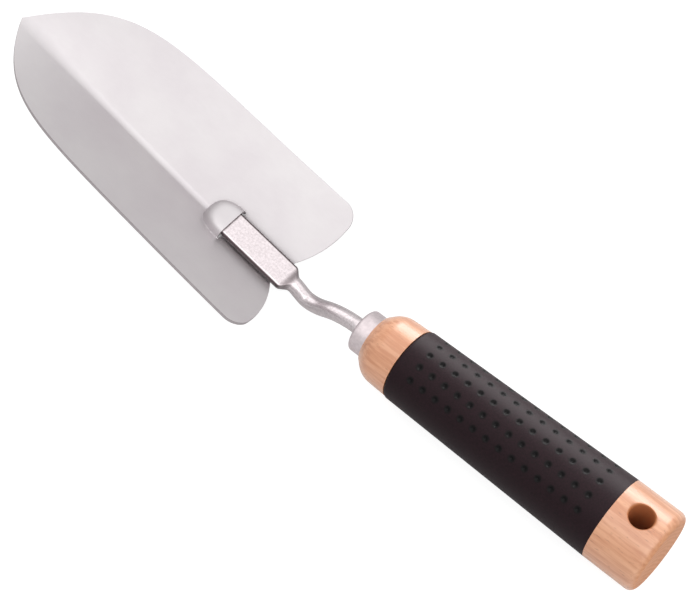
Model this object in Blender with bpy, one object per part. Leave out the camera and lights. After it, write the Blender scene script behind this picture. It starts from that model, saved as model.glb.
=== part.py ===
"""Hand trowel: a folded steel blade on a steel rod, a ferrule, a wooden handle and a rubber grip.

X runs along the handle from the centre of its butt end towards the tip, Z points to the hollow side of the
blade, and Y goes across. All sizes are real, in metres and degrees.
"""

import math

import bmesh
import bpy
from mathutils import Vector
from mathutils.geometry import interpolate_bezier

# Clearance between pieces that touch or sit in one another on the real tool
GAP = 0.0003

# Wooden handle
BUTT_RADIUS = 0.01725
BUTT_ROUND = 0.003
BUTT_TO_GRIP = 0.0219
SHOULDER_X = 0.1355
DOME_ROUND = 0.010
DOME_ANGLE = 42.0
DOME_LENGTH = 0.0085
DOME_RADIUS = 0.0149
TAIL_DEPTH = 0.060

# Hanging hole, square to the handle
HOLE_TO_BUTT = 0.0113
HOLE_RADIUS = 0.00475
HOLE_CHAMFER = 0.0013

# Rubber grip
GRIP_LENGTH = 0.0971
GRIP_FRONT_RADIUS = 0.01555
GRIP_REAR_RADIUS = 0.01725
GRIP_THICKNESS = 0.002
GRIP_EDGE_ROUND = 0.0012
DIMPLE_RADIUS = 0.0011
DIMPLE_DEPTH = 0.0006
DIMPLE_PITCH = 0.0061
DIMPLE_COLUMNS = 14
DIMPLE_ROWS = 5
DIMPLE_ROW_ANGLE = 22.5
DIMPLE_TURN = -3.4

# Ferrule
FERRULE_LENGTH = 0.0069
FERRULE_RADIUS = 0.0092
FERRULE_WALL = 0.001
FERRULE_FACE = 0.0012
FERRULE_ROUND = 0.0014

# Rod and the flat bar at its front
ROD_RADIUS = 0.0034
BAR_WIDTH = 0.0122
BAR_THICKNESS = 0.0038
BAR_EDGE_ROUND = 0.0013
BAR_UNDER_HOOD = 0.0025
BAR_OVERHANG = 0.0006
SHOULDER_TAPER = 0.0045
BEND_START = 0.002
BEND_DROP_X = 0.0190
BEND_DROP_Z = -0.0056
BEND_DROP_ANGLE = -33.0
BEND_LOW_X = 0.0287
BEND_LOW_Z = -0.0093

# Blade
BLADE_THICKNESS = 0.0013
BLADE_REAR_X = 0.0422
BLADE_REAR_Z = -0.0092
BLADE_LENGTH = 0.1514
BLADE_ANGLE = 19.2
BLADE_BELLY = 0.003
REAR_HALF_WIDTH = 0.0409
FRONT_HALF_WIDTH = 0.0381
ARCH_POWER = 7.0
ARCH_START = 0.62
REAR_SLOPE = 29.3
TIP_SLOPE = 9.1
SLOPE_POWER = 5.2
CORNER_ROUND = 0.0078
REAR_OVERHANG = 0.0051
NOTCH_DEPTH = 0.0124
NOTCH_HALF_WIDTH = 0.031
FOLD_RADIUS = 0.0035
REAR_FOLD_RADIUS = 0.008
TIP_FOLD_RADIUS = 0.017
REAR_FOLD_REACH = 0.04
TIP_FOLD_POWER = 6

# Hood over the end of the bar
HOOD_TO_REAR = 0.0305
HOOD_HALF_WIDTH = 0.0083
HOOD_LENGTH = 0.0120
SLIT_WIDTH = 0.0006
HOOD_PLAN_POWER = 2.5
HOOD_FLAT_POWER = 2.4

# Steps around a turned piece, along the sheet's pointed arch, and along a bend of the rod
ROUND_STEPS = 64
ARCH_ROWS = 13
ARCH_CROWDING = 1.6
BEND_STEPS = 8

# Where lines of points run along the sheet, as shares of the hood's half width and of the rest
HOOD_SHARES = (0.0, 0.13, 0.27, 0.42, 0.57, 0.71, 0.83, 0.93, 1.0)
WING_SHARES = (0.04, 0.16, 0.35, 0.57, 0.79, 1.0)


def clear_scene():
    for item in list(bpy.data.objects):
        bpy.data.objects.remove(item, do_unlink=True)


def material(name, colour, roughness, metallic):
    made = bpy.data.materials.new(name)
    made.use_nodes = True
    shader = made.node_tree.nodes["Principled BSDF"]
    shader.inputs["Base Color"].default_value = (*colour, 1.0)
    shader.inputs["Roughness"].default_value = roughness
    shader.inputs["Metallic"].default_value = metallic
    return made


def place(name, mesh_data, finish):
    """A named object holding this bmesh, smooth-shaded where its faces turn gently."""
    mesh = bpy.data.meshes.new(name)
    mesh_data.to_mesh(mesh)
    mesh_data.free()
    thing = bpy.data.objects.new(name, mesh)
    bpy.context.scene.collection.objects.link(thing)
    if finish is not None:
        mesh.materials.append(finish)
    mesh.shade_smooth()
    mesh.set_sharp_from_angle(angle=math.radians(35))
    return thing


def quarter_turn(centre_x, centre_r, radius, start, end, steps=5):
    """Points of an arc in the profile plane, angles in degrees from +X."""
    points = []
    for i in range(steps + 1):
        angle = math.radians(start + (end - start) * i / steps)
        points.append((centre_x + radius * math.cos(angle), centre_r + radius * math.sin(angle)))
    return points


def turned(profile, ring=False):
    """A body turned about X from (x, radius) points. A ring's profile closes on itself."""
    work = bmesh.new()
    verts = [work.verts.new((x, 0.0, r)) for x, r in profile]
    edges = [work.edges.new(pair) for pair in zip(verts, verts[1:])]
    if ring:
        edges.append(work.edges.new((verts[-1], verts[0])))
    bmesh.ops.spin(
        work,
        geom=verts + edges,
        cent=(0, 0, 0),
        axis=(1, 0, 0),
        angle=math.tau,
        steps=ROUND_STEPS,
        use_merge=True,
    )
    bmesh.ops.remove_doubles(work, verts=work.verts, dist=1e-6)
    bmesh.ops.recalc_face_normals(work, faces=work.faces)
    return work


def subtract(thing, cutter):
    """Cuts a closed helper out of a piece for good."""
    cutter.hide_render = True
    cutter.display_type = "WIRE"
    cut = thing.modifiers.new("cut", "BOOLEAN")
    cut.operation = "DIFFERENCE"
    cut.solver = "EXACT"
    cut.object = cutter


# Places that several pieces share
GRIP_FRONT_X = BUTT_TO_GRIP + GRIP_LENGTH
FERRULE_REAR_X = SHOULDER_X + GAP
FERRULE_FRONT_X = FERRULE_REAR_X + FERRULE_LENGTH
SPIGOT_RADIUS = FERRULE_RADIUS - FERRULE_WALL - GAP


def grip_radius(x):
    share = (x - BUTT_TO_GRIP) / GRIP_LENGTH
    return GRIP_REAR_RADIUS + (GRIP_FRONT_RADIUS - GRIP_REAR_RADIUS) * share


def make_handle(finish):
    seat_rear = BUTT_TO_GRIP - GAP
    seat_front = GRIP_FRONT_X + GAP
    depth = GRIP_THICKNESS + GAP
    profile = [(0.0, 0.0)]
    profile += quarter_turn(BUTT_ROUND, BUTT_RADIUS - BUTT_ROUND, BUTT_ROUND, 180, 90)
    profile.append((seat_rear, grip_radius(seat_rear)))
    profile.append((seat_rear, grip_radius(seat_rear) - depth))
    profile.append((seat_front, grip_radius(seat_front) - depth))
    profile.append((seat_front, min(DOME_RADIUS + GAP, grip_radius(seat_front))))
    dome_x = SHOULDER_X - DOME_LENGTH
    arc = quarter_turn(dome_x, DOME_RADIUS - DOME_ROUND, DOME_ROUND, 90, 90 - DOME_ANGLE, 7)
    profile += arc
    end_x, end_radius = arc[-1]
    drop = (SHOULDER_X - end_x) * math.tan(math.radians(DOME_ANGLE))
    profile.append((SHOULDER_X, end_radius - drop))
    spigot_front = FERRULE_FRONT_X - FERRULE_FACE - GAP
    bore = ROD_RADIUS + GAP
    bore_end = FERRULE_FRONT_X - TAIL_DEPTH - GAP
    profile += [(SHOULDER_X, SPIGOT_RADIUS), (spigot_front, SPIGOT_RADIUS), (spigot_front, bore)]
    profile += [(bore_end, bore), (bore_end, 0.0)]
    handle = place("handle", turned(profile), finish)
    top = BUTT_RADIUS - HOLE_CHAMFER
    reach = HOLE_CHAMFER + BUTT_ROUND
    half = [(0.0, HOLE_RADIUS), (top, HOLE_RADIUS), (top + reach, HOLE_RADIUS + reach), (top + reach, 0.0)]
    outline = [(-x, r) for x, r in reversed(half[1:])] + half[1:]
    drill = place("hole_cutter", turned(outline), None)
    drill.rotation_euler = (0.0, math.radians(90), 0.0)
    drill.location = (HOLE_TO_BUTT, 0.0, 0.0)
    subtract(handle, drill)
    return handle


def make_grip(finish):
    inside = GRIP_THICKNESS
    rear, front, edge = BUTT_TO_GRIP, GRIP_FRONT_X, GRIP_EDGE_ROUND
    profile = [(rear, grip_radius(rear) - inside), (rear, grip_radius(rear))]
    profile += quarter_turn(front - edge, GRIP_FRONT_RADIUS - edge, edge, 90, 0)
    profile.append((front, GRIP_FRONT_RADIUS - inside))
    grip = place("grip", turned(profile, ring=True), finish)
    ball = (DIMPLE_RADIUS**2 + DIMPLE_DEPTH**2) / (2 * DIMPLE_DEPTH)
    dents = bmesh.new()
    middle = (rear + front) / 2
    for row in range(DIMPLE_ROWS):
        turn = math.radians(DIMPLE_TURN + DIMPLE_ROW_ANGLE * (row - (DIMPLE_ROWS - 1) / 2))
        for column in range(DIMPLE_COLUMNS):
            x = middle + DIMPLE_PITCH * (column - (DIMPLE_COLUMNS - 1) / 2)
            reach = grip_radius(x) + ball - DIMPLE_DEPTH
            made = bmesh.ops.create_icosphere(dents, subdivisions=2, radius=ball)
            spot = Vector((x, reach * math.sin(turn), reach * math.cos(turn)))
            bmesh.ops.translate(dents, verts=made["verts"], vec=spot)
    subtract(grip, place("dimple_cutter", dents, None))
    return grip


def make_ferrule(finish):
    rear, front = FERRULE_REAR_X, FERRULE_FRONT_X
    hole = ROD_RADIUS + GAP
    inner = FERRULE_RADIUS - FERRULE_WALL
    profile = [(rear, inner), (rear, FERRULE_RADIUS)]
    profile += quarter_turn(front - FERRULE_ROUND, FERRULE_RADIUS - FERRULE_ROUND, FERRULE_ROUND, 90, 0)
    profile += [(front, hole), (front - FERRULE_FACE, hole), (front - FERRULE_FACE, inner)]
    return place("ferrule", turned(profile, ring=True), finish)


def crease_frame(s):
    """Point of the blade's middle line at s along it, its forward direction and its upward direction."""
    share = s / BLADE_LENGTH
    chord = math.radians(BLADE_ANGLE)
    sag = 4 * BLADE_BELLY * share * (1 - share)
    start = Vector((FERRULE_FRONT_X + BLADE_REAR_X, 0.0, BLADE_REAR_Z))
    along = Vector((math.cos(chord), 0.0, math.sin(chord)))
    above = Vector((-math.sin(chord), 0.0, math.cos(chord)))
    lean = math.atan(4 * BLADE_BELLY * (1 - 2 * share) / BLADE_LENGTH)
    forward = along * math.cos(lean) - above * math.sin(lean)
    upward = above * math.cos(lean) + along * math.sin(lean)
    return start + along * s - above * sag, forward, upward


def wing_slope(s):
    share = max(0.0, s / BLADE_LENGTH)
    return math.radians(REAR_SLOPE + (TIP_SLOPE - REAR_SLOPE) * share**SLOPE_POWER)


def fold_radius(s):
    share = max(0.0, s / BLADE_LENGTH)
    rear = max(0.0, 1 - s / REAR_FOLD_REACH) ** 2
    tip = share**TIP_FOLD_POWER
    return FOLD_RADIUS + (REAR_FOLD_RADIUS - FOLD_RADIUS) * rear + (TIP_FOLD_RADIUS - FOLD_RADIUS) * tip


def valley(t, s):
    """Sideways place and height above the middle line of the sheet, t along its slope."""
    slope, radius = wing_slope(s), fold_radius(s)
    flat = radius * math.tan(slope)
    if abs(t) >= flat:
        return t * math.cos(slope), abs(t) * math.sin(slope)
    turn = slope * t / flat
    return radius * math.sin(turn), radius * (1 / math.cos(slope) - math.cos(turn))


def bar_bottom():
    """How far the bar's underside is above the middle line, its rounded edges resting on the slopes."""
    slope = math.radians(REAR_SLOPE)
    edge = BAR_EDGE_ROUND
    centre = (BAR_WIDTH / 2 - edge) * math.tan(slope) + (edge + GAP) / math.cos(slope)
    return centre - edge


def hood_height(y, ahead):
    """Height of the hood above the middle line, ahead of its open edge: round in plan, flat on top."""
    side = HOOD_HALF_WIDTH * math.tan(math.radians(REAR_SLOPE))
    crown = bar_bottom() + BAR_THICKNESS + 2 * GAP + BLADE_THICKNESS
    spread = HOOD_HALF_WIDTH / (1 - (side / crown) ** 2) ** (1 / (HOOD_PLAN_POWER * HOOD_FLAT_POWER))
    out = abs(y / spread) ** HOOD_PLAN_POWER + abs(ahead / HOOD_LENGTH) ** HOOD_PLAN_POWER
    return crown * math.sqrt(max(0.0, 1 - out**HOOD_FLAT_POWER))


def rear_edge(t):
    """Where the rear edge is along the middle line, t across: a notch, then straight to the corners."""
    share = min(1.0, abs(t) / NOTCH_HALF_WIDTH)
    return NOTCH_DEPTH * (1 - share) ** 2 - REAR_OVERHANG


def side_width(s):
    """Half width across the sheet's slope: slowly narrowing sides, a pointed arch and rounded rear corners."""
    share = max(0.0, s / BLADE_LENGTH)
    straight = REAR_HALF_WIDTH + (FRONT_HALF_WIDTH - REAR_HALF_WIDTH) * share
    width = straight * (1 - share**ARCH_POWER)
    into_corner = CORNER_ROUND - REAR_OVERHANG - s
    if into_corner > 0:
        width -= CORNER_ROUND - math.sqrt(max(0.0, CORNER_ROUND**2 - into_corner**2))
    return width


def evenly(start, end, steps):
    return [start + (end - start) * i / steps for i in range(steps + 1)]


def blade_rows():
    """Places along the side of the sheet where a row of points crosses it. The tip itself is one more point."""
    corner_end = CORNER_ROUND - REAR_OVERHANG
    corner = [corner_end - CORNER_ROUND * math.cos(math.radians(a)) for a in evenly(0, 90, 4)]
    slit_rear = HOOD_TO_REAR - SLIT_WIDTH
    before = evenly(corner_end, slit_rear, 5)[1:]
    hood = evenly(HOOD_TO_REAR, HOOD_TO_REAR + 1.1 * HOOD_LENGTH, 9)
    body = evenly(hood[-1], ARCH_START * BLADE_LENGTH, 8)[1:]
    left = BLADE_LENGTH - body[-1]
    arch = [BLADE_LENGTH - left * (1 - i / ARCH_ROWS) ** ARCH_CROWDING for i in range(1, ARCH_ROWS)]
    return corner + before + hood + body + arch


def blade_columns():
    """Shares of the half width where a line of points runs along the sheet, closest together at the hood."""
    end = HOOD_HALF_WIDTH / math.cos(math.radians(REAR_SLOPE)) / side_width(HOOD_TO_REAR)
    hood = [end * share for share in HOOD_SHARES]
    outer = [end + (1 - end) * share for share in WING_SHARES]
    half = hood + outer
    return [-share for share in reversed(half[1:])] + half, len(hood) - 1


def sheet_point(s, t):
    """Point of the sheet's hollow side, s along and t across it."""
    centre, _, upward = crease_frame(s)
    y, height = valley(t, s)
    ahead = s - HOOD_TO_REAR
    if 0 <= ahead < HOOD_LENGTH:
        height = max(height, hood_height(y, ahead))
    return centre + Vector((0.0, y, 0.0)) + upward * height


def make_blade(finish):
    rows = blade_rows()
    columns, hood_end = blade_columns()
    middle = len(columns) // 2
    straight_from = HOOD_TO_REAR - 2 * CORNER_ROUND
    work = bmesh.new()
    grid = []
    for s_side in rows:
        line = []
        pull = max(0.0, 1 - (s_side - rows[0]) / (straight_from - rows[0]))
        for share in columns:
            t = share * side_width(s_side)
            s = s_side + (rear_edge(t) + REAR_OVERHANG) * pull
            line.append(work.verts.new(sheet_point(s, t)))
        grid.append(line)
    slit_row = rows.index(HOOD_TO_REAR) - 1
    for i in range(len(grid) - 1):
        for j in range(len(columns) - 1):
            in_slit = middle - hood_end <= j < middle + hood_end
            if i == slit_row and in_slit:
                continue
            work.faces.new((grid[i][j], grid[i + 1][j], grid[i + 1][j + 1], grid[i][j + 1]))
    tip = work.verts.new(sheet_point(BLADE_LENGTH, 0.0))
    last = grid[-1]
    for j in range(len(columns) - 1):
        work.faces.new((last[j], tip, last[j + 1]))
    blade = place("blade", work, finish)
    sheet = blade.modifiers.new("sheet", "SOLIDIFY")
    sheet.thickness = BLADE_THICKNESS
    sheet.offset = -1
    return blade


def section(half_width, half_height, edge, steps=5):
    """Outline of the rod or bar: a rectangle with rounded corners, round when all three are equal."""
    points = []
    for quarter, (side, top) in enumerate(((1, 1), (-1, 1), (-1, -1), (1, -1))):
        for i in range(steps + 1):
            angle = math.radians(90 * quarter + 90 * i / steps)
            y = side * (half_width - edge) + edge * math.cos(angle)
            z = top * (half_height - edge) + edge * math.sin(angle)
            points.append((y, z))
    return points


def bar_place(s):
    """Centre of the flat bar above the blade's middle line, and its forward direction."""
    centre, forward, upward = crease_frame(s)
    return centre + upward * (bar_bottom() + BAR_THICKNESS / 2), forward


def tang_path():
    """Places along the rod and the bar: centre, and how far the rod has become the bar, 0 to 1."""
    front, _ = bar_place(HOOD_TO_REAR + BAR_UNDER_HOOD)
    rear, _ = bar_place(-BAR_OVERHANG)
    along = (front - rear).normalized()
    start = Vector((FERRULE_FRONT_X + BEND_START, 0.0, 0.0))
    drop = Vector((FERRULE_FRONT_X + BEND_DROP_X, 0.0, BEND_DROP_Z))
    drop_angle = math.radians(BEND_DROP_ANGLE)
    drop_way = Vector((math.cos(drop_angle), 0.0, math.sin(drop_angle)))
    low = Vector((FERRULE_FRONT_X + BEND_LOW_X, 0.0, BEND_LOW_Z))
    straight = Vector((1.0, 0.0, 0.0))
    taper_start = rear - along * SHOULDER_TAPER
    knots = [(start, straight), (drop, drop_way), (low, straight), (taper_start, along)]
    centres = [Vector((FERRULE_FRONT_X - TAIL_DEPTH, 0.0, 0.0))]
    for (here, way), (there, next_way) in zip(knots, knots[1:]):
        reach = (there - here).length / 3
        curve = interpolate_bezier(here, here + way * reach, there - next_way * reach, there, BEND_STEPS)
        centres += curve[:-1]
    path = [(centre, 0.0) for centre in centres]
    for share in evenly(0, 1, BEND_STEPS):
        path.append((taper_start.lerp(rear, share), share * share * (3 - 2 * share)))
    path.append((front, 1.0))
    return path


def make_tang(finish):
    path = tang_path()
    work = bmesh.new()
    rings = []
    for i, (centre, share) in enumerate(path):
        before = path[max(0, i - 1)][0]
        after = path[min(len(path) - 1, i + 1)][0]
        forward = (after - before).normalized()
        upward = Vector((-forward.z, 0.0, forward.x))
        half_width = ROD_RADIUS + (BAR_WIDTH / 2 - ROD_RADIUS) * share
        half_height = ROD_RADIUS + (BAR_THICKNESS / 2 - ROD_RADIUS) * share
        edge = ROD_RADIUS + (BAR_EDGE_ROUND - ROD_RADIUS) * share
        outline = section(half_width, half_height, edge)
        rings.append([work.verts.new(centre + Vector((0.0, y, 0.0)) + upward * z) for y, z in outline])
    for ring, after in zip(rings, rings[1:]):
        for j in range(len(ring)):
            k = (j + 1) % len(ring)
            work.faces.new((ring[j], ring[k], after[k], after[j]))
    work.faces.new(rings[0])
    work.faces.new(rings[-1])
    bmesh.ops.remove_doubles(work, verts=work.verts, dist=1e-6)
    bmesh.ops.dissolve_degenerate(work, edges=work.edges, dist=1e-6)
    bmesh.ops.recalc_face_normals(work, faces=work.faces)
    return place("tang", work, finish)


clear_scene()
make_blade(material("satin_steel", (0.80, 0.79, 0.79), 0.35, 1.0))
make_tang(material("polished_steel", (0.84, 0.82, 0.81), 0.2, 1.0))
make_ferrule(material("dull_steel", (0.62, 0.58, 0.56), 0.5, 1.0))
make_handle(material("pale_wood", (0.76, 0.47, 0.28), 0.5, 0.0))
make_grip(material("black_rubber", (0.035, 0.028, 0.032), 0.6, 0.0))
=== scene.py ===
"""Hand trowel for a close look: blade, rod with its flat bar, ferrule, wooden handle and rubber grip.

Each piece is a fine surface in the place of its CAD solid. Sizes are real, in metres and degrees. X runs along
the handle from the centre of its butt end, Y goes across, and Z points to the hollow side of the blade.
"""

import math

import bpy
import numpy as np
from mathutils import Matrix, Vector


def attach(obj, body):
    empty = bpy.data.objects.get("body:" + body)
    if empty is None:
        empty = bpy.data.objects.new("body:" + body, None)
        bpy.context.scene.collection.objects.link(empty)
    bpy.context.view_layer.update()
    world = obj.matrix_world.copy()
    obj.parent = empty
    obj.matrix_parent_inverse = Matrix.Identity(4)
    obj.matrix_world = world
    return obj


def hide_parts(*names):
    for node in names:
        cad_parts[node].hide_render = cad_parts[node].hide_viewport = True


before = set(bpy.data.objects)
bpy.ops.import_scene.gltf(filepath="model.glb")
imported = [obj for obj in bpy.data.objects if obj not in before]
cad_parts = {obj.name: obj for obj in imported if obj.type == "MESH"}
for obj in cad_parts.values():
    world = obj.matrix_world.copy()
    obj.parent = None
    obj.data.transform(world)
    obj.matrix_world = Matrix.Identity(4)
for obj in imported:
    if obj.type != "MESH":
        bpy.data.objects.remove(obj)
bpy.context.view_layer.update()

# Sizes that the CAD model has too
GAP = 0.0003
BUTT_RADIUS = 0.01725
BUTT_ROUND = 0.003
BUTT_TO_GRIP = 0.0219
SHOULDER_X = 0.1355
DOME_ROUND = 0.010
DOME_ANGLE = 42.0
DOME_LENGTH = 0.0085
DOME_RADIUS = 0.0149
TAIL_DEPTH = 0.060
HOLE_TO_BUTT = 0.0113
HOLE_RADIUS = 0.00475
HOLE_ROUND = 0.0016
GRIP_LENGTH = 0.0971
GRIP_FRONT_RADIUS = 0.01555
GRIP_REAR_RADIUS = 0.01725
GRIP_THICKNESS = 0.002
GRIP_EDGE_ROUND = 0.0012
DIMPLE_RADIUS = 0.0011
DIMPLE_DEPTH = 0.0006
DIMPLE_PITCH = 0.0061
DIMPLE_COLUMNS = 14
DIMPLE_ROWS = 5
DIMPLE_ROW_ANGLE = 22.5
DIMPLE_TURN = -3.4
FERRULE_LENGTH = 0.0069
FERRULE_RADIUS = 0.0092
FERRULE_WALL = 0.001
FERRULE_FACE = 0.0012
FERRULE_ROUND = 0.0014
ROD_RADIUS = 0.0034
BAR_WIDTH = 0.0122
BAR_THICKNESS = 0.0038
BAR_EDGE_ROUND = 0.0013
BAR_UNDER_HOOD = 0.0025
BAR_OVERHANG = 0.0006
SHOULDER_TAPER = 0.0045
BEND_START = 0.002
BEND_DROP_X = 0.0190
BEND_DROP_Z = -0.0056
BEND_DROP_ANGLE = -33.0
BEND_LOW_X = 0.0287
BEND_LOW_Z = -0.0093
BLADE_THICKNESS = 0.0013
BLADE_REAR_X = 0.0422
BLADE_REAR_Z = -0.0092
BLADE_LENGTH = 0.1514
BLADE_ANGLE = 19.2
BLADE_BELLY = 0.003
REAR_HALF_WIDTH = 0.0409
FRONT_HALF_WIDTH = 0.0381
ARCH_POWER = 7.0
ARCH_START = 0.62
REAR_SLOPE = 29.3
TIP_SLOPE = 9.1
SLOPE_POWER = 5.2
CORNER_ROUND = 0.0078
REAR_OVERHANG = 0.0051
NOTCH_DEPTH = 0.0124
NOTCH_HALF_WIDTH = 0.031
FOLD_RADIUS = 0.0035
REAR_FOLD_RADIUS = 0.008
TIP_FOLD_RADIUS = 0.017
REAR_FOLD_REACH = 0.04
TIP_FOLD_POWER = 6
HOOD_TO_REAR = 0.0305
HOOD_HALF_WIDTH = 0.0083
HOOD_LENGTH = 0.0120
SLIT_WIDTH = 0.0006
HOOD_PLAN_POWER = 2.5
HOOD_FLAT_POWER = 2.4
HOOD_FOOT_ROUND = 0.0014

# The hood's foot grows to its full rounding over this length from the slit
HOOD_FOOT_GROWS = 0.002

# How finely each surface is stepped: counts of steps or points, lengths of the longest steps, and powers that
# crowd the blade's lines towards the tip and its rows towards the hood
CORNER_POINTS = 15
SLIT_POINTS = 30
HOOD_POINTS = 40
BODY_POINTS = 40
ARCH_STEPS = 70
ARCH_CROWDING = 1.6
HOOD_STEPS = 32
WING_POINTS = 44
WING_CROWDING = 1.15
BEND_POINTS = 28
TAIL_POINTS = 30
BAR_POINTS = 60
ROD_CORNER_POINTS = 14
FERRULE_AROUND = 160
FERRULE_STEP = 0.0006
HANDLE_AROUND = 192
HANDLE_STEP = 0.0012
HOLE_AROUND = 96
GRIP_POINTS = 290
GRIP_FINE_POINTS = 120
GRIP_COARSE_POINTS = 56
GRIP_INSIDE_STEP = 0.004

# How far out from its middle a dimple sinks, and how far its painted shade reaches and fades, as shares of its radius
DIP_REACH = 1.15
PAINTED_SHADE_REACH = 1.7
PAINTED_SHADE_FADE = 0.7

GRIP_FRONT_X = BUTT_TO_GRIP + GRIP_LENGTH
FERRULE_REAR_X = SHOULDER_X + GAP
FERRULE_FRONT_X = FERRULE_REAR_X + FERRULE_LENGTH


# Surfaces

def grid_faces(rows, columns, around=False, ring=False, flip=False):
    """Four-sided faces between neighbours of a grid of points. It can close on itself either way."""
    i, j = np.meshgrid(np.arange(rows - (not ring)), np.arange(columns - (not around)), indexing="ij")
    below, beside = (i + 1) % rows, (j + 1) % columns
    corners = [i * columns + j, below * columns + j, below * columns + beside, i * columns + beside]
    return np.stack(corners[::-1] if flip else corners, axis=-1).reshape(-1, 4)


def arc(centre, radius, start, end, steps):
    """Points of a circle in the profile plane, angles in degrees from the first axis."""
    angle = np.radians(np.linspace(start, end, steps + 1))
    return np.stack([centre[0] + radius * np.cos(angle), centre[1] + radius * np.sin(angle)], axis=1)


def spread(profile, step):
    """The same profile with its long straight runs cut into steps no longer than this."""
    points = [profile[:1]]
    for here, there in zip(profile, profile[1:]):
        count = max(1, math.ceil(np.linalg.norm(there - here) / step))
        points.append(here + (there - here) * np.linspace(0, 1, count + 1)[1:, None])
    return np.vstack(points)


def turned(profile, around):
    """A profile of (x, radius) turned about X: each point goes to x, radius * sin a, radius * cos a."""
    turn = np.linspace(0, math.tau, around, endpoint=False)
    x = np.repeat(profile[:, :1], around, axis=1)
    return np.stack([x, profile[:, 1:] * np.sin(turn), profile[:, 1:] * np.cos(turn)], axis=-1)


def piece(name, points, faces, finishes, sharp=40.0):
    """A mesh object of these points and faces, with its gentle turns smooth."""
    mesh = bpy.data.meshes.new(name)
    mesh.from_pydata(points.reshape(-1, 3).tolist(), [], faces)
    thing = bpy.data.objects.new(name, mesh)
    bpy.context.scene.collection.objects.link(thing)
    for finish in finishes:
        mesh.materials.append(finish)
    mesh.validate()
    smooth(mesh, sharp)
    return thing


def mark(thing, name, values):
    """Stores a number from 0 to 1 at each point, for its material to read."""
    layer = thing.data.attributes.new(name, "FLOAT", "POINT")
    layer.data.foreach_set("value", np.ascontiguousarray(values, np.float32).ravel())


def smooth(mesh, sharp):
    """Smooth shading, with an edge wherever the surface turns by more than this angle."""
    mesh.shade_smooth()
    mesh.set_sharp_from_angle(angle=math.radians(sharp))


def weld(thing):
    """Merges the points that fell together at a pole."""
    join = thing.modifiers.new("join", "WELD")
    join.merge_threshold = 1e-6


def settle(thing, sharp=40.0):
    """Turns what the modifiers make into the object's own mesh."""
    graph = bpy.context.evaluated_depsgraph_get()
    made = bpy.data.meshes.new_from_object(thing.evaluated_get(graph), depsgraph=graph)
    thing.modifiers.clear()
    thing.data = made
    smooth(made, sharp)


# Blade

def crease(s):
    """Middle line of the blade at s along it, and the way up from it: a shallow parabola hung from a chord."""
    share, chord = s / BLADE_LENGTH, math.radians(BLADE_ANGLE)
    along = np.array([math.cos(chord), 0.0, math.sin(chord)])
    above = np.array([-math.sin(chord), 0.0, math.cos(chord)])
    sag = 4 * BLADE_BELLY * share * (1 - share)
    lean = np.arctan(4 * BLADE_BELLY * (1 - 2 * share) / BLADE_LENGTH)
    start = np.array([FERRULE_FRONT_X + BLADE_REAR_X, 0.0, BLADE_REAR_Z])
    point = start + s[..., None] * along - sag[..., None] * above
    return point, above * np.cos(lean)[..., None] + along * np.sin(lean)[..., None]


def valley(t, s):
    """Sideways place and height of the sheet at t across it: two flat slopes joined by a round fold."""
    share = np.clip(s / BLADE_LENGTH, 0, None)
    slope = np.radians(REAR_SLOPE + (TIP_SLOPE - REAR_SLOPE) * share**SLOPE_POWER)
    rear = np.clip(1 - s / REAR_FOLD_REACH, 0, None) ** 2
    radius = FOLD_RADIUS + (REAR_FOLD_RADIUS - FOLD_RADIUS) * rear
    radius = radius + (TIP_FOLD_RADIUS - FOLD_RADIUS) * share**TIP_FOLD_POWER
    flat = radius * np.tan(slope)
    turn = slope * np.clip(t / flat, -1, 1)
    on_slope = np.abs(t) >= flat
    y = np.where(on_slope, t * np.cos(slope), radius * np.sin(turn))
    return y, np.where(on_slope, np.abs(t) * np.sin(slope), radius * (1 / np.cos(slope) - np.cos(turn)))


def bar_bottom():
    """How far the bar's underside is above the middle line, its rounded edges resting on the slopes."""
    slope = math.radians(REAR_SLOPE)
    centre = (BAR_WIDTH / 2 - BAR_EDGE_ROUND) * math.tan(slope) + (BAR_EDGE_ROUND + GAP) / math.cos(slope)
    return centre - BAR_EDGE_ROUND


def hood_height(y, ahead):
    """Height of the hood: flat on top and round in plan, with steep sides down to the sheet."""
    side = HOOD_HALF_WIDTH * math.tan(math.radians(REAR_SLOPE))
    crown = bar_bottom() + BAR_THICKNESS + 2 * GAP + BLADE_THICKNESS
    width = HOOD_HALF_WIDTH / (1 - (side / crown) ** 2) ** (1 / (HOOD_PLAN_POWER * HOOD_FLAT_POWER))
    out = np.abs(y / width) ** HOOD_PLAN_POWER + np.abs(ahead / HOOD_LENGTH) ** HOOD_PLAN_POWER
    fall = 1 - np.minimum(out, 2) ** HOOD_FLAT_POWER
    return crown * np.sign(fall) * np.sqrt(np.abs(fall))


def side_width(s):
    """Half width of the sheet at s: slowly narrowing sides that close in a pointed arch, and round rear corners."""
    share = np.clip(s / BLADE_LENGTH, 0, 1)
    width = (REAR_HALF_WIDTH + (FRONT_HALF_WIDTH - REAR_HALF_WIDTH) * share) * (1 - share**ARCH_POWER)
    corner = np.clip(CORNER_ROUND - REAR_OVERHANG - s, 0, CORNER_ROUND)
    return width - CORNER_ROUND + np.sqrt(CORNER_ROUND**2 - corner**2)


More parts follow.
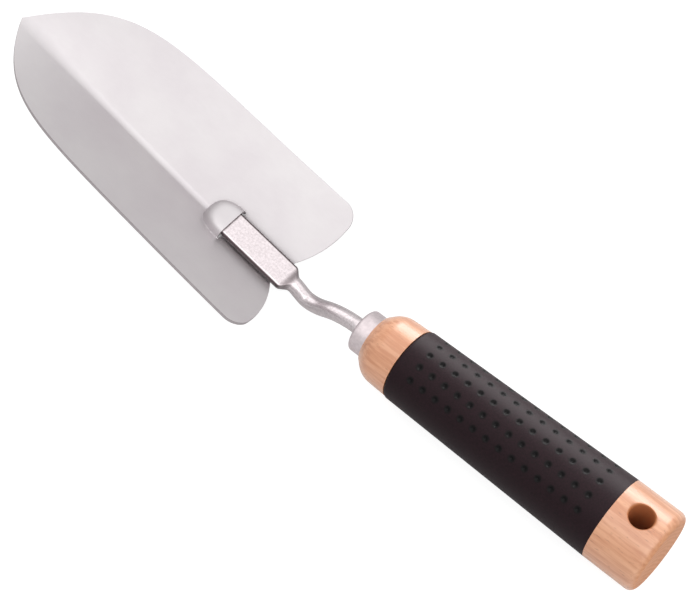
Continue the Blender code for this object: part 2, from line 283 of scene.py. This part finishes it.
def blade_grid():
    """Rows of points across the sheet, closest at the hood, lines along it as shares, and the row behind the slit."""
    corner_end = CORNER_ROUND - REAR_OVERHANG
    corner = corner_end - CORNER_ROUND * np.cos(np.radians(np.linspace(0, 90, CORNER_POINTS)))
    slit = HOOD_TO_REAR - SLIT_WIDTH
    before = np.linspace(corner_end, slit, SLIT_POINTS)[1:]
    hood = HOOD_TO_REAR + 1.25 * HOOD_LENGTH * np.linspace(0, 1, HOOD_POINTS)
    body = np.linspace(hood[-1], ARCH_START * BLADE_LENGTH, BODY_POINTS)[1:]
    left = 1 - np.arange(1, ARCH_STEPS) / ARCH_STEPS
    arch = BLADE_LENGTH - (BLADE_LENGTH - body[-1]) * left**ARCH_CROWDING
    rows = np.concatenate([corner, before, hood, body, arch])
    end = HOOD_HALF_WIDTH / math.cos(math.radians(REAR_SLOPE)) / REAR_HALF_WIDTH
    wing = end + (1 - end) * np.linspace(0, 1, WING_POINTS)[1:] ** WING_CROWDING
    half = np.concatenate([end * np.linspace(0, 1, HOOD_STEPS + 1), wing])
    return rows, np.concatenate([-half[:0:-1], half]), len(corner) + len(before) - 1


def make_blade(steel, cut_steel):
    """The folded sheet with its notch behind and its hood over the bar, then its thickness below that face."""
    rows, shares, slit_row = blade_grid()
    side, share = np.meshgrid(rows, shares, indexing="ij")
    t = share * side_width(side)
    edge = NOTCH_DEPTH * (1 - np.clip(np.abs(t) / NOTCH_HALF_WIDTH, 0, 1)) ** 2
    straight_from = HOOD_TO_REAR - 2 * CORNER_ROUND
    s = side + edge * np.clip(1 - (side - rows[0]) / (straight_from - rows[0]), 0, 1)
    y, height = valley(t, s)
    ahead = s - HOOD_TO_REAR
    hood = hood_height(y, ahead)
    foot = HOOD_FOOT_ROUND * np.clip(ahead / HOOD_FOOT_GROWS, 1e-3, 1)
    raised = np.maximum(height, hood) + np.clip(foot - np.abs(height - hood), 0, None) ** 2 / (4 * foot)
    height = np.where(ahead >= 0, raised, height)
    centre, upward = crease(s)
    points = centre + upward * height[..., None]
    points[..., 1] += y
    count = len(shares)
    faces = grid_faces(len(rows), count).reshape(len(rows) - 1, count - 1, 4)
    kept = np.ones(faces.shape[:2], bool)
    kept[slit_row, count // 2 - HOOD_STEPS:count // 2 + HOOD_STEPS] = False
    tip_point, _ = crease(np.array(BLADE_LENGTH))
    last = (len(rows) - 1) * count + np.arange(count - 1)
    fan = np.stack([last, np.full(count - 1, len(rows) * count), last + 1], axis=1)
    points = np.vstack([points.reshape(-1, 3), tip_point])
    blade = piece("blade_sheet", points, faces[kept].tolist() + fan.tolist(), [steel, cut_steel])
    sheet = blade.modifiers.new("sheet", "SOLIDIFY")
    sheet.thickness = BLADE_THICKNESS
    sheet.offset = -1
    sheet.material_offset_rim = 1
    settle(blade)
    return blade


# Rod and bar

def bezier(here, leave, arrive, there, steps):
    """Points of a cubic curve from one end to the other, its last point left out."""
    u = np.linspace(0, 1, steps, endpoint=False)[:, None]
    return (1 - u) ** 3 * here + 3 * (1 - u) ** 2 * u * leave + 3 * (1 - u) * u**2 * arrive + u**3 * there


def bar_place(s):
    """The middle of the bar's thickness above s along the blade."""
    point, upward = crease(np.array(s))
    return point + upward * (bar_bottom() + BAR_THICKNESS / 2)


def rod_path():
    """Centres from the tail in the wood to the bar's end under the hood, and how far the rod is flattened."""
    front, rear = bar_place(HOOD_TO_REAR + BAR_UNDER_HOOD), bar_place(-BAR_OVERHANG)
    along = (front - rear) / np.linalg.norm(front - rear)
    drop_angle = math.radians(BEND_DROP_ANGLE)
    taper = rear - along * SHOULDER_TAPER
    straight = np.array([1.0, 0.0, 0.0])
    knots = [
        (np.array([FERRULE_FRONT_X + BEND_START, 0.0, 0.0]), straight),
        (np.array([FERRULE_FRONT_X + BEND_DROP_X, 0.0, BEND_DROP_Z]),
         np.array([math.cos(drop_angle), 0.0, math.sin(drop_angle)])),
        (np.array([FERRULE_FRONT_X + BEND_LOW_X, 0.0, BEND_LOW_Z]), straight),
        (taper, along),
    ]
    tail = np.array([FERRULE_FRONT_X - TAIL_DEPTH, 0.0, 0.0])
    parts = [tail + (knots[0][0] - tail) * np.linspace(0, 1, TAIL_POINTS, endpoint=False)[:, None]]
    for (here, way), (there, next_way) in zip(knots, knots[1:]):
        reach = np.linalg.norm(there - here) / 3
        parts.append(bezier(here, here + way * reach, there - next_way * reach, there, BEND_POINTS))
    step = np.linspace(0, 1, BEND_POINTS)
    parts.append(taper + (rear - taper) * step[:, None])
    bar = rear + (front - rear) * np.linspace(0, 1, BAR_POINTS)[1:, None]
    parts.append(bar)
    flatness = np.zeros(sum(len(part) for part in parts))
    flatness[-len(bar) - len(step):-len(bar)] = step**2 * (3 - 2 * step)
    flatness[-len(bar):] = 1
    return np.vstack(parts), flatness


def make_rod(steel):
    """The round rod swept along its bent path, its section growing into the bar's rounded rectangle."""
    path, flatness = rod_path()
    forward = np.gradient(path, axis=0)
    forward /= np.linalg.norm(forward, axis=1)[:, None]
    upward = np.stack([-forward[:, 2], np.zeros(len(path)), forward[:, 0]], axis=1)
    width = ROD_RADIUS + (BAR_WIDTH / 2 - ROD_RADIUS) * flatness
    height = ROD_RADIUS + (BAR_THICKNESS / 2 - ROD_RADIUS) * flatness
    edge = (ROD_RADIUS + (BAR_EDGE_ROUND - ROD_RADIUS) * flatness)[:, None]
    quarter = np.tile(np.linspace(0, 90, ROD_CORNER_POINTS), 4)
    angle = np.radians(np.repeat([0, 90, 180, 270], ROD_CORNER_POINTS) + quarter)
    side = np.repeat([1, -1, -1, 1], ROD_CORNER_POINTS)
    top = np.repeat([1, 1, -1, -1], ROD_CORNER_POINTS)
    y = side * (width[:, None] - edge) + edge * np.cos(angle)
    z = top * (height[:, None] - edge) + edge * np.sin(angle)
    points = path[:, None, :] + upward[:, None, :] * z[..., None]
    points[..., 1] += y
    rows, columns = y.shape
    faces = grid_faces(rows, columns, around=True, flip=True).tolist()
    faces.append(list(range(columns)))
    faces.append(list(range((rows - 1) * columns, rows * columns))[::-1])
    rod = piece("rod_and_bar", points, faces, [steel])
    # Painted shade and painted dark reflection: on the bar's sides, less low down on the +Y side, and round the neck
    # where the bar narrows
    sideways = np.clip((np.abs(np.cos(angle)) - np.where(side > 0, 0.45, 0.05)) / 0.3, 0, 1)
    sideways = sideways * np.where((side > 0) & (top < 0), 0.3, 1.0)
    neck = np.sqrt(np.clip(4 * flatness * (1 - flatness), 0, 1))
    mark(rod, "bar_painted_shade", np.maximum(sideways * flatness[:, None] ** 2, 0.7 * neck[:, None]))
    weld(rod)
    settle(rod)
    return rod


# Ferrule, handle and grip

def make_ferrule(metal):
    """A cup turned about the handle's axis, with a round front edge and the rod's hole in its face."""
    inner, hole = FERRULE_RADIUS - FERRULE_WALL, ROD_RADIUS + GAP / 3
    front = FERRULE_FRONT_X
    profile = np.vstack([
        [(FERRULE_REAR_X, inner), (FERRULE_REAR_X, FERRULE_RADIUS)],
        arc((front - FERRULE_ROUND, FERRULE_RADIUS - FERRULE_ROUND), FERRULE_ROUND, 90, 0, 12),
        [(front, hole), (front - FERRULE_FACE, hole), (front - FERRULE_FACE, inner)],
    ])
    points = turned(spread(profile, FERRULE_STEP), FERRULE_AROUND)
    faces = grid_faces(len(points), FERRULE_AROUND, around=True, ring=True).tolist()
    return piece("ferrule_cup", points, faces, [metal])


def grip_radius(x):
    """Outer radius of the tapered grip at x."""
    return GRIP_REAR_RADIUS + (GRIP_FRONT_RADIUS - GRIP_REAR_RADIUS) * (x - BUTT_TO_GRIP) / GRIP_LENGTH


def make_handle(wood):
    """The turned handle: butt, seat of the grip, dome and spigot, with the hanging hole cut across the butt."""
    seat_rear, seat_front = BUTT_TO_GRIP - GAP / 3, GRIP_FRONT_X + GAP / 3
    depth = GRIP_THICKNESS + GAP
    spigot = FERRULE_RADIUS - FERRULE_WALL - GAP
    spigot_front = FERRULE_FRONT_X - FERRULE_FACE - GAP
    bore, bore_end = ROD_RADIUS + GAP, FERRULE_FRONT_X - TAIL_DEPTH - GAP
    dome = arc((SHOULDER_X - DOME_LENGTH, DOME_RADIUS - DOME_ROUND), DOME_ROUND, 90, 90 - DOME_ANGLE, 30)
    drop = (SHOULDER_X - dome[-1, 0]) * math.tan(math.radians(DOME_ANGLE))
    profile = np.vstack([
        [(0.0, 0.0)],
        arc((BUTT_ROUND, BUTT_RADIUS - BUTT_ROUND), BUTT_ROUND, 180, 90, 18),
        [(seat_rear, grip_radius(seat_rear)), (seat_rear, grip_radius(seat_rear) - depth)],
        [(seat_front, grip_radius(seat_front) - depth)],
        [(seat_front, min(DOME_RADIUS + GAP, grip_radius(seat_front)))],
        dome,
        [(SHOULDER_X, dome[-1, 1] - drop), (SHOULDER_X, spigot), (spigot_front, spigot)],
        [(spigot_front, bore), (bore_end, bore), (bore_end, 0.0)],
    ])
    points = turned(spread(profile, HANDLE_STEP), HANDLE_AROUND)
    handle = piece("wooden_handle", points, grid_faces(len(points), HANDLE_AROUND, around=True).tolist(), [wood])
    weld(handle)
    settle(handle)
    top = BUTT_RADIUS - HOLE_ROUND
    rim = arc((top, HOLE_RADIUS + HOLE_ROUND), HOLE_ROUND, 270, 360, 12)
    clear = BUTT_RADIUS * 1.3
    half = np.vstack([rim, [(clear, HOLE_RADIUS + HOLE_ROUND), (clear, 0.0)]])
    outline = np.vstack([half[::-1] * (-1, 1), half])
    drill_points = turned(outline, HOLE_AROUND)[..., [1, 2, 0]] + np.array([HOLE_TO_BUTT, 0.0, 0.0])
    drill_faces = grid_faces(len(outline), HOLE_AROUND, around=True).tolist()
    drill = piece("hole_cutter", drill_points, drill_faces, [wood])
    weld(drill)
    settle(drill)
    cut = handle.modifiers.new("hole", "BOOLEAN")
    cut.operation = "DIFFERENCE"
    cut.solver = "EXACT"
    cut.object = drill
    settle(handle, 30.0)
    bpy.data.objects.remove(drill, do_unlink=True)
    return handle


def make_grip(rubber):
    """The sleeve: a tapered tube whose outer face sinks in a smooth round dip at each dimple."""
    rear, front, edge = BUTT_TO_GRIP, GRIP_FRONT_X, GRIP_EDGE_ROUND
    fine = math.radians(DIMPLE_ROW_ANGLE * DIMPLE_ROWS / 2 + 6)
    far = np.linspace(fine, math.tau - fine, GRIP_COARSE_POINTS)[1:-1]
    turn = np.concatenate([np.linspace(-fine, fine, GRIP_FINE_POINTS), far])
    outer = np.linspace(rear, front - edge, GRIP_POINTS)
    outer = np.stack([outer, grip_radius(outer)], axis=1)
    round_edge = arc((front - edge, GRIP_FRONT_RADIUS - edge), edge, 90, 0, 10)[1:]
    inside = np.array([(front, GRIP_FRONT_RADIUS - GRIP_THICKNESS), (rear, GRIP_REAR_RADIUS - GRIP_THICKNESS)])
    profile = np.vstack([outer, round_edge, spread(inside, GRIP_INSIDE_STEP)])
    x = np.repeat(profile[:, :1], len(turn), axis=1)
    radius = np.repeat(profile[:, 1:], len(turn), axis=1)
    middle = (rear + front) / 2
    column = np.round((x - middle) / DIMPLE_PITCH + (DIMPLE_COLUMNS - 1) / 2).clip(0, DIMPLE_COLUMNS - 1)
    nearest_x = middle + DIMPLE_PITCH * (column - (DIMPLE_COLUMNS - 1) / 2)
    row_turn = math.radians(DIMPLE_ROW_ANGLE)
    signed = (turn - math.radians(DIMPLE_TURN) + math.pi) % math.tau - math.pi
    row = np.round(signed / row_turn).clip(-(DIMPLE_ROWS // 2), DIMPLE_ROWS // 2)
    across = (signed - row * row_turn) * radius
    near = np.hypot(x - nearest_x, across) / DIMPLE_RADIUS
    on_outer = np.arange(len(profile))[:, None] < len(outer)
    # Painted shade: each dimple and a ring round it are marked to be darkened in the rubber's colour
    shade = np.clip(PAINTED_SHADE_REACH - near, 0, PAINTED_SHADE_FADE) / PAINTED_SHADE_FADE
    dip = np.clip(DIP_REACH - near, 0, 1)
    dip = np.where(on_outer, dip * dip * (3 - 2 * dip), 0)
    radius = radius - DIMPLE_DEPTH * dip
    points = np.stack([x, radius * np.sin(turn), radius * np.cos(turn)], axis=-1)
    faces = grid_faces(len(profile), len(turn), around=True, ring=True).tolist()
    grip = piece("rubber_grip", points, faces, [rubber])
    mark(grip, "dimple", np.where(on_outer, shade, 0))
    return grip


# Materials

def linear(hex_code):
    """A colour written as sRGB hex, as the linear values that a shader takes."""
    parts = [int(hex_code[i:i + 2], 16) / 255 for i in (1, 3, 5)]
    return tuple(v / 12.92 if v <= 0.04045 else ((v + 0.055) / 1.055) ** 2.4 for v in parts) + (1.0,)


def add(tree, kind, links=(), settings=(), **values):
    """Adds a node: its settings by name, its values by socket name, and (socket, output) links into it."""
    node = tree.nodes.new(kind)
    for name, value in dict(settings).items():
        setattr(node, name, value)
    for name, value in values.items():
        node.inputs[int(name[1:]) if name[1:].isdigit() else name.replace("_", " ")].default_value = value
    for socket, output in links:
        tree.links.new(output, node.inputs[socket])
    return node


def finish(name):
    """A new material: its tree, its surface shader and the object's own coordinates."""
    made = bpy.data.materials.new(name)
    made.use_nodes = True
    tree = made.node_tree
    tree.nodes.clear()
    shader = tree.nodes.new("ShaderNodeBsdfPrincipled")
    output = tree.nodes.new("ShaderNodeOutputMaterial")
    tree.links.new(shader.outputs[0], output.inputs[0])
    return made, tree, shader, tree.nodes.new("ShaderNodeTexCoord").outputs["Object"]


def noise(tree, place, per_metre, stretch=(1, 1, 1), detail=3):
    """A cloudy pattern of this many features to the metre, drawn out along the axes by stretch."""
    scale = tuple(1 / v for v in stretch)
    mapped = add(tree, "ShaderNodeMapping", [("Vector", place)], Scale=scale)
    return add(tree, "ShaderNodeTexNoise", [("Vector", mapped.outputs[0])], Scale=per_metre, Detail=detail,
               Roughness=0.55).outputs["Fac"]


def ramp(tree, factor, stops):
    """Colours along a factor, from (place, hex) pairs."""
    node = add(tree, "ShaderNodeValToRGB", [("Fac", factor)])
    for index, (place, hex_code) in enumerate(stops):
        stop = node.color_ramp.elements[index] if index < 2 else node.color_ramp.elements.new(place)
        stop.position = place
        stop.color = linear(hex_code)
    return node.outputs["Color"]


def between(tree, factor, low, high):
    """Turns a pattern from 0 to 1 into a value from low to high."""
    return add(tree, "ShaderNodeMapRange", [("Value", factor)], To_Min=low, To_Max=high).outputs[0]


def bump(tree, shader, height, depth, strength):
    """Fine relief of this depth on a surface, from a pattern."""
    node = add(tree, "ShaderNodeBump", [("Height", height)], Strength=strength, Distance=depth)
    tree.links.new(node.outputs[0], shader.inputs["Normal"])


def rolled_steel():
    # Cold-rolled stainless sheet, pressed and satin polished: even grey with faint clouds and soft gloss
    made, tree, shader, place = finish("satin_stainless_sheet")
    clouds = noise(tree, place, 45)
    fine = noise(tree, place, 900, stretch=(6, 1, 1), detail=4)
    colour = ramp(tree, clouds, [(0.35, "#C6C1C3"), (0.65, "#CAC6C7")])
    tree.links.new(colour, shader.inputs["Base Color"])
    tree.links.new(between(tree, fine, 0.5, 0.58), shader.inputs["Roughness"])
    bump(tree, shader, fine, 0.00002, 0.25)
    shader.inputs["Metallic"].default_value = 1.0
    return made


def sheared_steel():
    # The same sheet's sheared edge, left as cut: darker and duller, with fine marks
    made, tree, shader, place = finish("sheared_steel_edge")
    marks = noise(tree, place, 1500, detail=4)
    tree.links.new(ramp(tree, marks, [(0.3, "#AAA3A5"), (0.7, "#BCB5B7")]), shader.inputs["Base Color"])
    tree.links.new(between(tree, marks, 0.45, 0.6), shader.inputs["Roughness"])
    shader.inputs["Metallic"].default_value = 1.0
    return made


def drawn_steel():
    # Drawn stainless rod, forged flat at its front and tumbled bright: pale with a fine grain
    made, tree, shader, place = finish("bright_drawn_steel")
    grain = noise(tree, place, 1100, detail=4)
    bright = ramp(tree, grain, [(0.35, "#C1B8BA"), (0.65, "#D3CACC")])
    # Painted shade and painted dark reflection: the bar's sides and its neck are darkened towards #5E5355 by the
    # points' marks
    scale = add(tree, "ShaderNodeAttribute", settings={"attribute_name": "bar_painted_shade"})
    dark = add(tree, "ShaderNodeMix", [(0, scale.outputs["Fac"]), (6, bright)], {"data_type": "RGBA"})
    dark.inputs[7].default_value = linear("#5E5355")
    tree.links.new(dark.outputs[2], shader.inputs["Base Color"])
    tree.links.new(between(tree, grain, 0.18, 0.28), shader.inputs["Roughness"])
    bump(tree, shader, grain, 0.00002, 0.25)
    shader.inputs["Metallic"].default_value = 1.0
    return made


def spun_metal():
    # Spun and zinc plated cup: dull warm grey
    made, tree, shader, place = finish("spun_zinc_plated_steel")
    grain = noise(tree, place, 700, detail=4)
    tree.links.new(ramp(tree, grain, [(0.35, "#CBC0C2"), (0.65, "#DACFD1")]), shader.inputs["Base Color"])
    tree.links.new(between(tree, grain, 0.38, 0.5), shader.inputs["Roughness"])
    bump(tree, shader, grain, 0.00002, 0.3)
    shader.inputs["Metallic"].default_value = 1.0
    return made


def in_hole(tree, place):
    """1 on the wall of the hanging hole, 0 from a little outside it."""
    moved = add(tree, "ShaderNodeVectorMath", [(0, place)], i1=(-HOLE_TO_BUTT, 0, 0))
    flat = add(tree, "ShaderNodeVectorMath", [(0, moved.outputs[0])], {"operation": "MULTIPLY"}, i1=(1, 1, 0))
    away = add(tree, "ShaderNodeVectorMath", [(0, flat.outputs[0])], {"operation": "LENGTH"})
    wall = add(tree, "ShaderNodeMapRange", [("Value", away.outputs["Value"])], To_Min=1.0, To_Max=0.0)
    wall.inputs["From Min"].default_value = HOLE_RADIUS + 0.0002
    wall.inputs["From Max"].default_value = HOLE_RADIUS + 0.0008
    return wall.outputs[0]


def on_end(tree, place):
    """1 on the flat end of the butt, 0 from its round edge on."""
    along = add(tree, "ShaderNodeSeparateXYZ", [(0, place)]).outputs["X"]
    end = add(tree, "ShaderNodeMapRange", [("Value", along)], To_Min=1.0, To_Max=0.0)
    end.inputs["From Min"].default_value = 0.0001
    end.inputs["From Max"].default_value = BUTT_ROUND / 2
    return end.outputs[0]


def varnished_beech():
    # Steamed beech, turned and thinly varnished: pinkish tan grain along the handle with short dark flecks
    made, tree, shader, place = finish("varnished_steamed_beech")
    broad = noise(tree, place, 110, stretch=(7, 1, 1))
    streaks = noise(tree, place, 620, stretch=(14, 1, 1))
    flecks = noise(tree, place, 1500, stretch=(5, 1, 1), detail=1)
    base = ramp(tree, broad, [(0.3, "#CD8458"), (0.7, "#E3A378")])
    grain = ramp(tree, streaks, [(0.38, "#BB7348"), (0.6, "#E9B089")])
    mixed = add(tree, "ShaderNodeMix", [(6, base), (7, grain)], {"data_type": "RGBA"}, i0=0.45)
    bore, end = in_hole(tree, place), on_end(tree, place)
    # The end face shows growth rings about 2 mm apart, round a heart of the tree outside the handle
    from_heart = add(tree, "ShaderNodeVectorMath", [(0, place)], {"operation": "SUBTRACT"}, i1=(0, 0.034, -0.026))
    rings = add(tree, "ShaderNodeTexWave", [("Vector", from_heart.outputs[0])],
                {"wave_type": "RINGS", "rings_direction": "X"}, Scale=155, Distortion=5, Detail=3, Detail_Scale=0.5)
    ringed = ramp(tree, rings.outputs["Fac"], [(0.1, "#CE8B60"), (0.9, "#DC9E75")])
    ended = add(tree, "ShaderNodeMix", [(0, between(tree, end, 0.0, 0.65)), (6, mixed.outputs[2]), (7, ringed)],
                {"data_type": "RGBA"})
    spots = add(tree, "ShaderNodeMapRange", [("Value", flecks)], From_Min=0.64, From_Max=0.76, To_Max=0.55)
    toned = add(tree, "ShaderNodeMix", [(0, spots.outputs[0]), (6, ended.outputs[2])], {"data_type": "RGBA"})
    toned.inputs[7].default_value = linear("#9C5B38")
    bored = add(tree, "ShaderNodeMix", [(0, bore), (6, toned.outputs[2])], {"data_type": "RGBA"})
    bored.inputs[7].default_value = linear("#C07C52")
    tree.links.new(bored.outputs[2], shader.inputs["Base Color"])
    tree.links.new(between(tree, streaks, 0.36, 0.5), shader.inputs["Roughness"])
    bump(tree, shader, streaks, 0.00004, 0.3)
    # Bare wood in the hole and on the end face, clear varnish over the rest
    bare = add(tree, "ShaderNodeMath", [(0, bore), (1, end)], {"operation": "MAXIMUM"}).outputs[0]
    tree.links.new(between(tree, bare, 1.0, 0.0), shader.inputs["Coat Weight"])
    tree.links.new(between(tree, bare, 0.9, 0.1), shader.inputs["Specular IOR Level"])
    shader.inputs["Coat Roughness"].default_value = 0.24
    return made


def black_rubber():
    # Moulded black rubber: matt, very dark with a faint warm cast and a fine skin
    made, tree, shader, place = finish("moulded_black_rubber")
    skin = noise(tree, place, 1400, detail=4)
    plain = ramp(tree, skin, [(0.3, "#170A0E"), (0.7, "#231218")])
    # Painted shade darkens the colour in and round each dimple
    painted_dimple_shade = add(tree, "ShaderNodeAttribute", settings={"attribute_name": "dimple"})
    dark = add(tree, "ShaderNodeMix", [(0, painted_dimple_shade.outputs["Fac"]), (6, plain)], {"data_type": "RGBA"})
    dark.inputs[7].default_value = linear("#060405")
    tree.links.new(dark.outputs[2], shader.inputs["Base Color"])
    tree.links.new(between(tree, skin, 0.44, 0.56), shader.inputs["Roughness"])
    shader.inputs["Specular IOR Level"].default_value = 0.14
    bump(tree, shader, skin, 0.00006, 0.35)
    return made


# The pieces, each in the place of its CAD solid

for made, node, slot in (
    (make_blade(rolled_steel(), sheared_steel()), "blade", "blade_steel"),
    (make_rod(drawn_steel()), "tang", "tang_steel"),
    (make_ferrule(spun_metal()), "ferrule", "ferrule_metal"),
    (make_handle(varnished_beech()), "handle", "handle_wood"),
    (make_grip(black_rubber()), "grip", "grip_rubber"),
):
    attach(made, "root")
    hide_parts(node)


# Floor, light and camera

# The floor lies this far under the handle and reaches this far each way
FLOOR_DROP = 0.0002
FLOOR_REACH = 4.0

# Centre and half lengths of the oval of floor under the blade that keeps its full shade
SHADE_CENTRE = (0.250, -0.012)
SHADE_SIZE = (0.055, 0.024)

# The view is this many pixels wide, and its lens has this focal length in pixels
VIEW_WIDTH = 698
FOCAL_LENGTH = 1693.3
SENSOR_WIDTH = 36.0


def stage_material(name, colour, strength, seen):
    """A pale surface that the camera sees lifted to white by this share, except in the shade under the blade."""
    made = bpy.data.materials.new(name)
    made.use_nodes = True
    tree = made.node_tree
    tree.nodes.clear()
    matt = add(tree, "ShaderNodeBsdfDiffuse", Color=linear(colour))
    glow = add(tree, "ShaderNodeEmission", Strength=strength)
    rays = add(tree, "ShaderNodeLightPath").outputs
    place = add(tree, "ShaderNodeTexCoord").outputs["Object"]
    moved = add(tree, "ShaderNodeVectorMath", [(0, place)], {"operation": "SUBTRACT"}, i1=(*SHADE_CENTRE, 0))
    scaled = add(tree, "ShaderNodeVectorMath", [(0, moved.outputs[0])], {"operation": "MULTIPLY"},
                 i1=(1 / SHADE_SIZE[0], 1 / SHADE_SIZE[1], 0))
    away = add(tree, "ShaderNodeVectorMath", [(0, scaled.outputs[0])], {"operation": "LENGTH"}).outputs["Value"]
    lift = add(tree, "ShaderNodeMapRange", [("Value", away)], {"interpolation_type": "SMOOTHSTEP"},
               From_Min=0.65, From_Max=1.0, To_Min=0.0, To_Max=seen)
    seen_lift = [(0, rays["Is Camera Ray"]), (1, lift.outputs[0])]
    share = add(tree, "ShaderNodeMath", seen_lift, {"operation": "MULTIPLY"})
    mix = add(tree, "ShaderNodeMixShader", [(0, share.outputs[0]), (1, matt.outputs[0]), (2, glow.outputs[0])])
    add(tree, "ShaderNodeOutputMaterial", [(0, mix.outputs[0])])
    return made


floor_mesh = bpy.data.meshes.new("floor")
level = -BUTT_RADIUS - FLOOR_DROP
corners = [(x * FLOOR_REACH, y * FLOOR_REACH, level) for x, y in ((-1, -1), (1, -1), (1, 1), (-1, 1))]
floor_mesh.from_pydata(corners, [], [(0, 1, 2, 3)])
floor = bpy.data.objects.new("floor", floor_mesh)
bpy.context.scene.collection.objects.link(floor)
floor_mesh.materials.append(stage_material("pale_floor", "#EEEEEE", 1.4, 0.6))

world = bpy.data.worlds.new("studio")
bpy.context.scene.world = world
world.use_nodes = True
sky = world.node_tree
sky.nodes.clear()
rays = add(sky, "ShaderNodeLightPath").outputs
# The camera, reflections and clear materials see the white, and all else is lit by the softer ambient light
either = add(sky, "ShaderNodeMath", [(0, rays["Is Camera Ray"]), (1, rays["Is Glossy Ray"])], {"operation": "MAXIMUM"})
any_ray = add(sky, "ShaderNodeMath", [(0, either.outputs[0]), (1, rays["Is Transmission Ray"])],
              {"operation": "MAXIMUM"})
ambient = add(sky, "ShaderNodeBackground", Strength=0.55)
white = add(sky, "ShaderNodeBackground", Strength=1.0)
for background in (ambient, white):
    background.inputs["Color"].default_value = (1, 1, 1, 1)
# What the pieces mirror dims a little towards the horizon
upward = add(sky, "ShaderNodeSeparateXYZ", [(0, add(sky, "ShaderNodeTexCoord").outputs["Generated"])]).outputs["Z"]
low = add(sky, "ShaderNodeMapRange", [("Value", upward)], From_Max=0.5, To_Min=0.32, To_Max=0.0).outputs[0]
dim = add(sky, "ShaderNodeMath", [(0, low), (1, rays["Is Glossy Ray"])], {"operation": "MULTIPLY"})
level_seen = add(sky, "ShaderNodeMath", [(1, dim.outputs[0])], {"operation": "SUBTRACT"}, i0=1.0)
sky.links.new(level_seen.outputs[0], white.inputs["Strength"])
mix = add(sky, "ShaderNodeMixShader", [(0, any_ray.outputs[0]), (1, ambient.outputs[0]), (2, white.outputs[0])])
add(sky, "ShaderNodeOutputWorld", [(0, mix.outputs[0])])


def softbox(name, place, aim, size, power, only=()):
    """A square area lamp at a place, turned to shine at a point. It can be kept to some of the pieces."""
    lamp = bpy.data.lights.new(name, "AREA")
    lamp.shape = "SQUARE"
    lamp.size = size
    lamp.energy = power
    thing = bpy.data.objects.new(name, lamp)
    thing.location = place
    thing.rotation_euler = (Vector(aim) - Vector(place)).to_track_quat("-Z", "Y").to_euler()
    thing.visible_camera = False
    bpy.context.scene.collection.objects.link(thing)
    if only:
        thing.light_linking.receiver_collection = bpy.data.collections.new(name + "_receivers")
        for receiver in only:
            thing.light_linking.receiver_collection.objects.link(bpy.data.objects[receiver])


softbox("side", (0.38, -0.90, 0.50), (0.08, 0.0, 0.0), 0.6, 5.8, ("wooden_handle",))
softbox("sheen", (0.38, -0.90, 0.50), (0.08, 0.0, 0.0), 0.9, 19.0, ("rubber_grip",))
softbox("ahead", (0.90, 0.0, 0.60), (0.15, 0.0, 0.0), 0.8, 1.6, ("rod_and_bar",))
softbox("overhead", (-0.22, -0.05, 1.15), (0.15, 0.0, 0.0), 2.4, 10.2)
softbox("front", (-0.12, 0.44, 0.96), (0.25, 0.0, 0.02), 1.0, 2.1)

# The view from above, a little behind the butt and to one side, rolled so that the blade points up and left
right = Vector((-0.749504, -0.661627, 0.011616))
down = Vector((-0.565295, 0.631056, -0.530896))
forward = Vector((0.344048, -0.404620, -0.847298))
view = bpy.data.cameras.new("camera")
view.sensor_width = SENSOR_WIDTH
view.sensor_fit = "HORIZONTAL"
view.lens = SENSOR_WIDTH * FOCAL_LENGTH / VIEW_WIDTH
view.clip_start = 0.01
camera = bpy.data.objects.new("camera", view)
turned_view = Matrix((right, -down, -forward)).transposed().to_4x4()
camera.matrix_world = Matrix.Translation((-0.07394, 0.26322, 0.56499)) @ turned_view
bpy.context.scene.collection.objects.link(camera)
bpy.context.scene.camera = camera
bpy.context.scene.view_settings.view_transform = "Standard"

bpy.context.view_layer.update()
